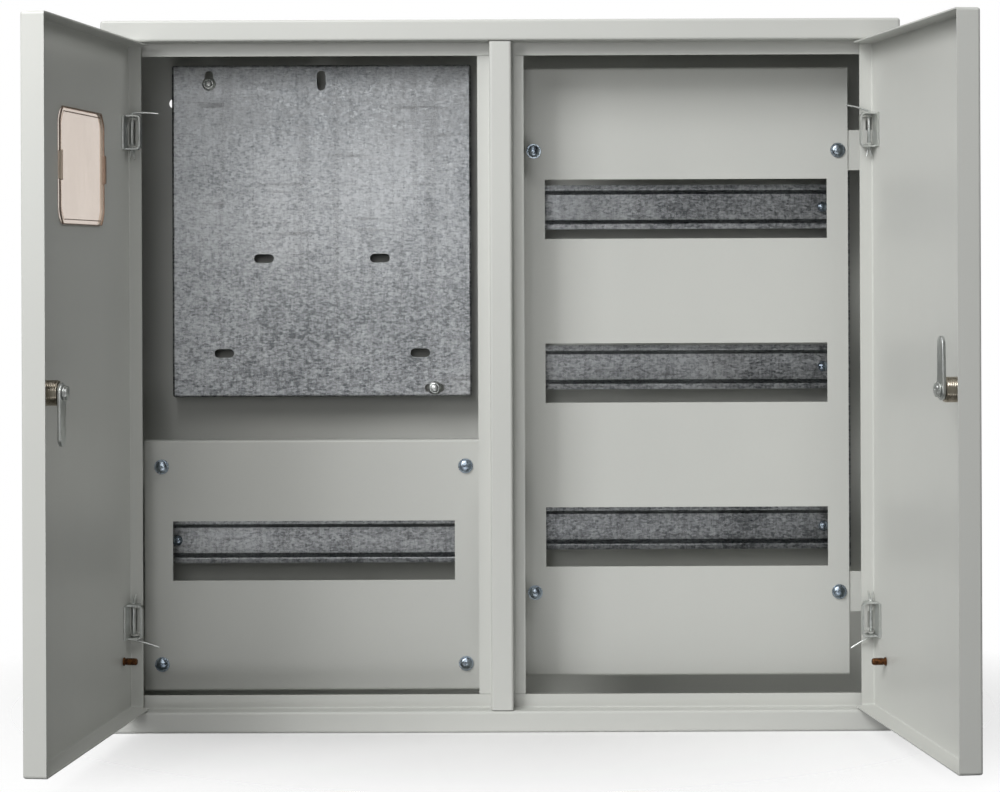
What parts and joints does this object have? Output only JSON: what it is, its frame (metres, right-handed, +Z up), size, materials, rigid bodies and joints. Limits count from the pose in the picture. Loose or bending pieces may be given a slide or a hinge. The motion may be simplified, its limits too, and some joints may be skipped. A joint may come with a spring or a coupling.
{
  "type": "residential load center",
  "caption": "Surface-mounted steel metering and distribution cabinet with a meter plate, DIN rails behind slotted covers and a pair of inset cam-locked doors.",
  "frame": {"origin": "middle of the rear face, in the plane of the wall", "axes": "+X to the right seen from the front, +Y into the wall, +Z up"},
  "size_m": [0.6278, 0.4265, 0.535],
  "materials": {
    "grey_paint": "light grey textured powder coat, semi-matt",
    "bright_zinc": "bright blue-white zinc plating",
    "galvanised_steel": "hot-dip galvanised sheet with visible spangle",
    "lock_brass": "satin nickel-bronze lock metal",
    "stud_copper": "copper-coated weld stud",
    "pane_plastic": "clear moulded window under a peach-tinted protective film"
  },
  "bodies": {
    "cabinet": {"shell": "grey_paint", "back_panel": "grey_paint", "mullion": "grey_paint", "upper_left_frame_hinge": "grey_paint", "upper_left_hinge_pin": "bright_zinc", "lower_left_frame_hinge": "grey_paint", "lower_left_hinge_pin": "bright_zinc", "upper_right_frame_hinge": "grey_paint", "upper_right_hinge_pin": "bright_zinc", "lower_right_frame_hinge": "grey_paint", "lower_right_hinge_pin": "bright_zinc", "right_cover": "grey_paint", "right_cover_screw_1": "bright_zinc", "right_cover_screw_2": "bright_zinc", "right_cover_screw_3": "bright_zinc", "right_cover_screw_4": "bright_zinc", "left_cover": "grey_paint", "left_cover_screw_1": "bright_zinc", "left_cover_screw_2": "bright_zinc", "left_cover_screw_3": "bright_zinc", "left_cover_screw_4": "bright_zinc", "right_rail_1": "galvanised_steel", "right_rail_1_screw_1": "bright_zinc", "right_rail_1_screw_2": "bright_zinc", "right_rail_2": "galvanised_steel", "right_rail_2_screw_1": "bright_zinc", "right_rail_2_screw_2": "bright_zinc", "right_rail_3": "galvanised_steel", "right_rail_3_screw_1": "bright_zinc", "right_rail_3_screw_2": "bright_zinc", "left_rail": "galvanised_steel", "left_rail_screw_1": "bright_zinc", "left_rail_screw_2": "bright_zinc", "left_post_1": "galvanised_steel", "left_post_2": "galvanised_steel", "right_post_1": "galvanised_steel", "right_post_2": "galvanised_steel", "meter_plate": "galvanised_steel", "plate_nut_1": "bright_zinc", "plate_nut_2": "bright_zinc"},
    "left_door": {"left_door": "grey_paint", "upper_left_door_hinge": "bright_zinc", "lower_left_door_hinge": "bright_zinc", "left_lock_body": "lock_brass", "left_lock_nut": "bright_zinc", "left_earth_stud": "stud_copper", "window_pane": "pane_plastic"},
    "left_lock": {"left_lock_plug": "bright_zinc", "left_lock_cam": "bright_zinc", "left_cam_screw": "bright_zinc"},
    "right_door": {"right_door": "grey_paint", "upper_right_door_hinge": "bright_zinc", "lower_right_door_hinge": "bright_zinc", "right_lock_body": "lock_brass", "right_lock_nut": "bright_zinc", "right_earth_stud": "stud_copper"},
    "right_lock": {"right_lock_plug": "bright_zinc", "right_lock_cam": "bright_zinc", "right_cam_screw": "bright_zinc"}
  },
  "joints": [
    {"name": "left_door_hinge", "type": "hinge", "parent": "cabinet", "child": "left_door", "pos_m": [-0.277, -0.1597, 0], "axis": [0, 0, -1], "range_deg": [-96.6, 5.4]},
    {"name": "right_door_hinge", "type": "hinge", "parent": "cabinet", "child": "right_door", "pos_m": [0.277, -0.1597, 0], "axis": [0, 0, 1], "range_deg": [-96.6, 5.4]},
    {"name": "left_lock_turn", "type": "hinge", "parent": "left_door", "child": "left_lock", "pos_m": [-0.30461, -0.39836, 0], "axis": [-0.9934, 0.1149, 0], "range_deg": [0, 90]},
    {"name": "right_lock_turn", "type": "hinge", "parent": "right_door", "child": "right_lock", "pos_m": [0.30461, -0.39836, 0], "axis": [0.9934, 0.1149, 0], "range_deg": [0, 90]}
  ]
}
